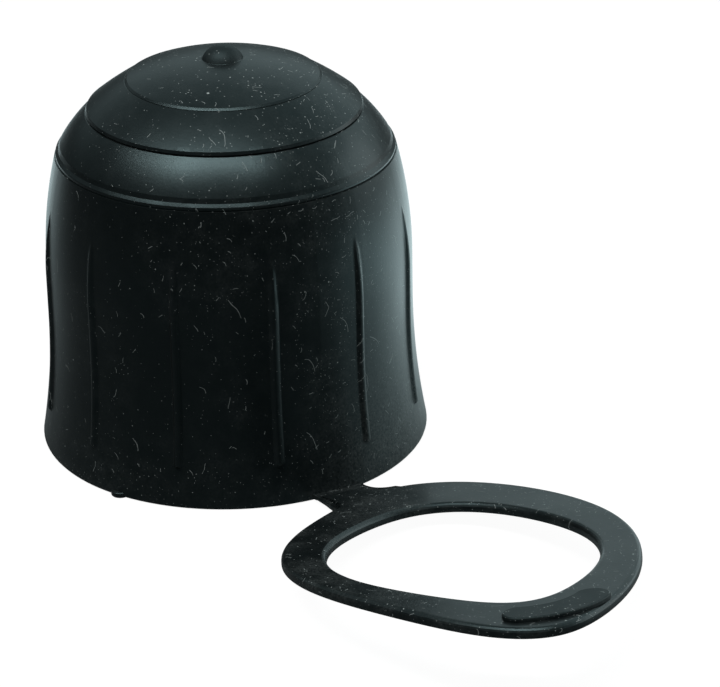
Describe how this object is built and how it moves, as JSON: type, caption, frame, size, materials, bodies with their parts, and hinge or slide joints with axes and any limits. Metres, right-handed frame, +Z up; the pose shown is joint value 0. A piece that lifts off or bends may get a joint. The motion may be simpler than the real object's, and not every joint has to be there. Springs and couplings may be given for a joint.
{
  "type": "tow ball cover",
  "caption": "Push-on black rubber cap for a tow ball: stepped dome with a nub, ribbed flared cup, and an egg-shaped retaining loop on a short neck.",
  "frame": {"origin": "centre of the tow ball when the cover is pushed fully home, on the axis of the cup's bore", "axes": "+Z up along the cup's axis, out through the dome and its nub; +X from the axis along the neck and the retaining loop; the bore opens towards -Z"},
  "size_m": [0.1371, 0.062, 0.0646],
  "materials": {
    "black_rubber": "satin black moulded rubber, slightly dusty"
  },
  "bodies": {
    "root": {"cover": "black_rubber"}
  },
  "joints": []
}
